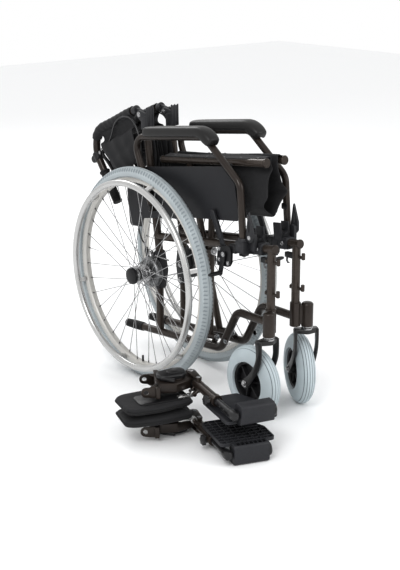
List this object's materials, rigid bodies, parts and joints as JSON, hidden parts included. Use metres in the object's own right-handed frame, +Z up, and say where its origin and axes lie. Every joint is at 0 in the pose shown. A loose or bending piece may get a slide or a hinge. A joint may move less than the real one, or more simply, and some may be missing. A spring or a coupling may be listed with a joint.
{
  "type": "folding wheelchair",
  "caption": "Folding self-propelled wheelchair with spoked wheels, half-folding back, lift-up armrests and two elevating legrests taken off.",
  "frame": {"origin": "middle of the footprint on the floor", "axes": "+Z up, front of the chair towards -Y, its left side towards +X"},
  "size_m": [0.616, 0.9792, 0.7632],
  "materials": {
    "frame_paint": "dark bronze-brown metallic paint, semi gloss",
    "charcoal": "charcoal moulded plastic, fine grain",
    "tyre_grey": "pale blue-grey rubber",
    "alloy": "silver anodised alloy",
    "zinc": "zinc plated steel",
    "nylon": "black coated nylon cloth",
    "black_rubber": "black rubber"
  },
  "bodies": {
    "right_frame": {"right_side_frame": "frame_paint", "right_seat_bracket": "charcoal", "right_brake_drum": "zinc", "right_parking_body": "charcoal", "right_brake_cable": "black_rubber", "right_lower_back_sling": "nylon"},
    "left_frame": {"left_side_frame": "frame_paint", "left_seat_bracket": "charcoal", "left_brake_drum": "zinc", "left_parking_body": "charcoal", "left_brake_cable": "black_rubber", "left_lower_back_sling": "nylon"},
    "right_arm": {"right_cross_arm": "frame_paint", "left_seat_sling": "nylon"},
    "left_arm": {"left_cross_arm": "frame_paint", "right_seat_sling": "nylon"},
    "right_cane": {"right_upper_cane": "frame_paint", "right_push_grip": "black_rubber", "right_upper_back_sling": "nylon"},
    "right_hand_lever": {"right_brake_lever": "charcoal"},
    "right_armrest": {"right_armrest_tube": "frame_paint", "right_arm_pad": "charcoal", "right_skirt_guard": "charcoal"},
    "right_latch": {"right_arm_latch": "charcoal"},
    "right_wheel": {"right_rear_wheel": "alloy", "right_rear_tyre": "tyre_grey", "right_handrim": "alloy"},
    "right_brake_handle": {"right_parking_lever": "charcoal"},
    "right_brake_shoe": {"right_parking_shoe": "zinc"},
    "right_fork": {"right_caster_fork": "frame_paint"},
    "right_caster": {"right_caster_wheel": "charcoal", "right_caster_tyre": "tyre_grey"},
    "right_legrest": {"right_hanger": "frame_paint"},
    "right_leg": {"right_leg_tube": "frame_paint"},
    "right_shank": {"right_extension": "frame_paint"},
    "right_foot": {"right_footplate": "charcoal"},
    "right_calf": {"right_calf_pad": "nylon"},
    "right_clamp_knob": {"right_knob": "charcoal"},
    "left_cane": {"left_upper_cane": "frame_paint", "left_push_grip": "black_rubber", "left_upper_back_sling": "nylon"},
    "left_hand_lever": {"left_brake_lever": "charcoal"},
    "left_armrest": {"left_armrest_tube": "frame_paint", "left_arm_pad": "charcoal", "left_skirt_guard": "charcoal"},
    "left_latch": {"left_arm_latch": "charcoal"},
    "left_wheel": {"left_rear_wheel": "alloy", "left_rear_tyre": "tyre_grey", "left_handrim": "alloy"},
    "left_brake_handle": {"left_parking_lever": "charcoal"},
    "left_brake_shoe": {"left_parking_shoe": "zinc"},
    "left_fork": {"left_caster_fork": "frame_paint"},
    "left_caster": {"left_caster_wheel": "charcoal", "left_caster_tyre": "tyre_grey"},
    "left_legrest": {"left_hanger": "frame_paint"},
    "left_leg": {"left_leg_tube": "frame_paint"},
    "left_shank": {"left_extension": "frame_paint"},
    "left_foot": {"left_footplate": "charcoal"},
    "left_calf": {"left_calf_pad": "nylon"},
    "left_clamp_knob": {"left_knob": "charcoal"}
  },
  "joints": [
    {"name": "fold", "type": "hinge", "parent": "right_frame", "child": "right_arm", "pos_m": [0.11757, -0.01264, 0.155], "axis": [0, 0.9925, -0.1219], "range_deg": [0, 44.32], "deforming": ["left_seat_sling", "right_seat_sling", "left_lower_back_sling", "right_lower_back_sling", "left_upper_back_sling", "right_upper_back_sling"]},
    {"name": "cross_pivot", "type": "hinge", "parent": "right_arm", "child": "left_arm", "pos_m": [0.1465, 0.01592, 0.38763], "axis": [0, 0.9925, -0.1219], "range_deg": [-88.64, 0]},
    {"name": "left_side_pivot", "type": "hinge", "parent": "left_arm", "child": "left_frame", "pos_m": [0.17544, -0.01264, 0.155], "axis": [0, 0.9925, -0.1219], "range_deg": [0, 44.32]},
    {"name": "right_back_fold", "type": "hinge", "parent": "right_frame", "child": "right_cane", "pos_m": [0.1025, 0.24936, 0.742], "axis": [1, 0, 0], "range_deg": [0, 104.5], "deforming": ["right_brake_cable", "right_upper_back_sling"]},
    {"name": "left_back_fold", "type": "hinge", "parent": "left_frame", "child": "left_cane", "pos_m": [0.1905, 0.24936, 0.742], "axis": [1, 0, 0], "range_deg": [0, 104.5], "deforming": ["left_brake_cable", "left_upper_back_sling"]},
    {"name": "right_hand_brake", "type": "hinge", "parent": "right_cane", "child": "right_hand_lever", "pos_m": [0.1025, 0.45195, 0.60458], "axis": [1, 0, 0], "range_deg": [0, 12], "stiffness_Nm_per_rad": 0.5, "springref_deg": -11.46},
    {"name": "right_armrest_lift", "type": "hinge", "parent": "right_frame", "child": "right_armrest", "pos_m": [0.0675, 0.16536, 0.495], "axis": [-1, 0, 0], "range_deg": [0, 65]},
    {"name": "right_armrest_latch", "type": "hinge", "parent": "right_frame", "child": "right_latch", "pos_m": [0.0675, -0.24264, 0.488], "axis": [1, 0, 0], "range_deg": [0, 20]},
    {"name": "right_wheel_turn", "type": "hinge", "parent": "right_frame", "child": "right_wheel", "pos_m": [0.0357, 0.17736, 0.305], "axis": [1, 0, 0], "continuous": true},
    {"name": "right_parking_brake", "type": "hinge", "parent": "right_frame", "child": "right_brake_handle", "pos_m": [0.0698, -0.14064, 0.436], "axis": [1, 0, 0], "range_deg": [0, 40]},
    {"name": "right_brake_shoe_turn", "type": "hinge", "parent": "right_frame", "child": "right_brake_shoe", "pos_m": [0.0555, -0.15564, 0.429], "axis": [1, 0, 0], "range_deg": [0, 26.01]},
    {"name": "right_caster_swivel", "type": "hinge", "parent": "right_frame", "child": "right_fork", "pos_m": [0.078, -0.30664, 0.2367], "axis": [0, 0, 1], "range_deg": [-45, 70]},
    {"name": "right_caster_turn", "type": "hinge", "parent": "right_fork", "child": "right_caster", "pos_m": [0.07901, -0.24865, 0.0975], "axis": [0.9998, -0.0175, 0], "continuous": true},
    {"name": "left_hand_brake", "type": "hinge", "parent": "left_cane", "child": "left_hand_lever", "pos_m": [0.1905, 0.45195, 0.60458], "axis": [1, 0, 0], "range_deg": [0, 12], "stiffness_Nm_per_rad": 0.5, "springref_deg": -11.46},
    {"name": "left_armrest_lift", "type": "hinge", "parent": "left_frame", "child": "left_armrest", "pos_m": [0.2255, 0.16536, 0.495], "axis": [-1, 0, 0], "range_deg": [0, 65]},
    {"name": "left_armrest_latch", "type": "hinge", "parent": "left_frame", "child": "left_latch", "pos_m": [0.2255, -0.24264, 0.488], "axis": [1, 0, 0], "range_deg": [0, 20]},
    {"name": "left_wheel_turn", "type": "hinge", "parent": "left_frame", "child": "left_wheel", "pos_m": [0.2573, 0.17736, 0.305], "axis": [1, 0, 0], "continuous": true},
    {"name": "left_parking_brake", "type": "hinge", "parent": "left_frame", "child": "left_brake_handle", "pos_m": [0.2232, -0.14064, 0.436], "axis": [1, 0, 0], "range_deg": [0, 40]},
    {"name": "left_brake_shoe_turn", "type": "hinge", "parent": "left_frame", "child": "left_brake_shoe", "pos_m": [0.2375, -0.15564, 0.429], "axis": [1, 0, 0], "range_deg": [0, 26.01]},
    {"name": "left_caster_swivel", "type": "hinge", "parent": "left_frame", "child": "left_fork", "pos_m": [0.215, -0.30664, 0.2367], "axis": [0, 0, 1], "range_deg": [-180, 60]},
    {"name": "left_caster_turn", "type": "hinge", "parent": "left_fork", "child": "left_caster", "pos_m": [0.24133, -0.25496, 0.0975], "axis": [0.891, -0.454, 0], "continuous": true},
    {"name": "right_legrest_lift", "type": "slide", "parent": "right_frame", "child": "right_legrest", "axis": [0, 0, 1], "range_m": [0, 0.75]},
    {"name": "right_knee", "type": "hinge", "parent": "right_legrest", "child": "right_leg", "pos_m": [-0.0895, -0.19264, 0.1319], "axis": [-0.0017, -0.0563, 0.9984], "range_deg": [0, 18]},
    {"name": "right_leg_length", "type": "slide", "parent": "right_leg", "child": "right_shank", "axis": [-0.2417, -0.9688, -0.055], "range_m": [0, 0.09]},
    {"name": "right_footplate_flip", "type": "hinge", "parent": "right_shank", "child": "right_foot", "pos_m": [-0.09001, -0.44254, 0.11781], "axis": [-0.9704, 0.2414, 0.012], "range_deg": [0, 90.01]},
    {"name": "right_calf_swing", "type": "hinge", "parent": "right_leg", "child": "right_calf", "pos_m": [-0.1195, -0.23766, 0.11128], "axis": [-0.2417, -0.9688, -0.055], "range_deg": [0, 78.01]},
    {"name": "right_knob_turn", "type": "hinge", "parent": "right_leg", "child": "right_clamp_knob", "pos_m": [-0.14323, -0.32538, 0.12432], "axis": [0.9704, -0.2414, -0.012], "range_deg": [0, 180]},
    {"name": "left_legrest_lift", "type": "slide", "parent": "right_frame", "child": "left_legrest", "axis": [0, 0, 1], "range_m": [0, 0.1126]},
    {"name": "left_knee", "type": "hinge", "parent": "left_legrest", "child": "left_leg", "pos_m": [-0.0935, -0.20764, 0.0262], "axis": [0, 0, 1], "range_deg": [0, 30]},
    {"name": "left_leg_length", "type": "slide", "parent": "left_leg", "child": "left_shank", "axis": [-0.3374, -0.9414, 0], "range_m": [0, 0.09]},
    {"name": "left_footplate_flip", "type": "hinge", "parent": "left_shank", "child": "left_foot", "pos_m": [-0.11901, -0.45664, 0.0262], "axis": [0.9414, -0.3374, 0], "range_deg": [0, 90.01]},
    {"name": "left_calf_swing", "type": "hinge", "parent": "left_leg", "child": "left_calf", "pos_m": [-0.12799, -0.25052, 0.0442], "axis": [0.3374, 0.9414, 0], "range_deg": [0, 78.01]},
    {"name": "left_knob_turn", "type": "hinge", "parent": "left_leg", "child": "left_clamp_knob", "pos_m": [-0.16024, -0.33457, 0.0262], "axis": [0.9414, -0.3374, 0], "range_deg": [0, 180]}
  ],
  "couplings": [
    {"joint": "cross_pivot", "follows": "fold", "ratio": -2},
    {"joint": "left_side_pivot", "follows": "fold", "ratio": 1},
    {"joint": "left_back_fold", "follows": "right_back_fold", "ratio": 1},
    {"joint": "right_brake_shoe_turn", "follows": "right_parking_brake", "ratio": 0.65},
    {"joint": "left_brake_shoe_turn", "follows": "left_parking_brake", "ratio": 0.65},
    {"joint": "left_legrest_lift", "follows": "right_legrest_lift", "ratio": 0.15},
    {"joint": "right_footplate_flip", "follows": "right_legrest_lift", "rad_per_m": 2.0944},
    {"joint": "right_calf_swing", "follows": "right_legrest_lift", "rad_per_m": 1.8151},
    {"joint": "left_footplate_flip", "follows": "right_legrest_lift", "rad_per_m": 2.0944},
    {"joint": "left_calf_swing", "follows": "right_legrest_lift", "rad_per_m": 1.8151}
  ]
}
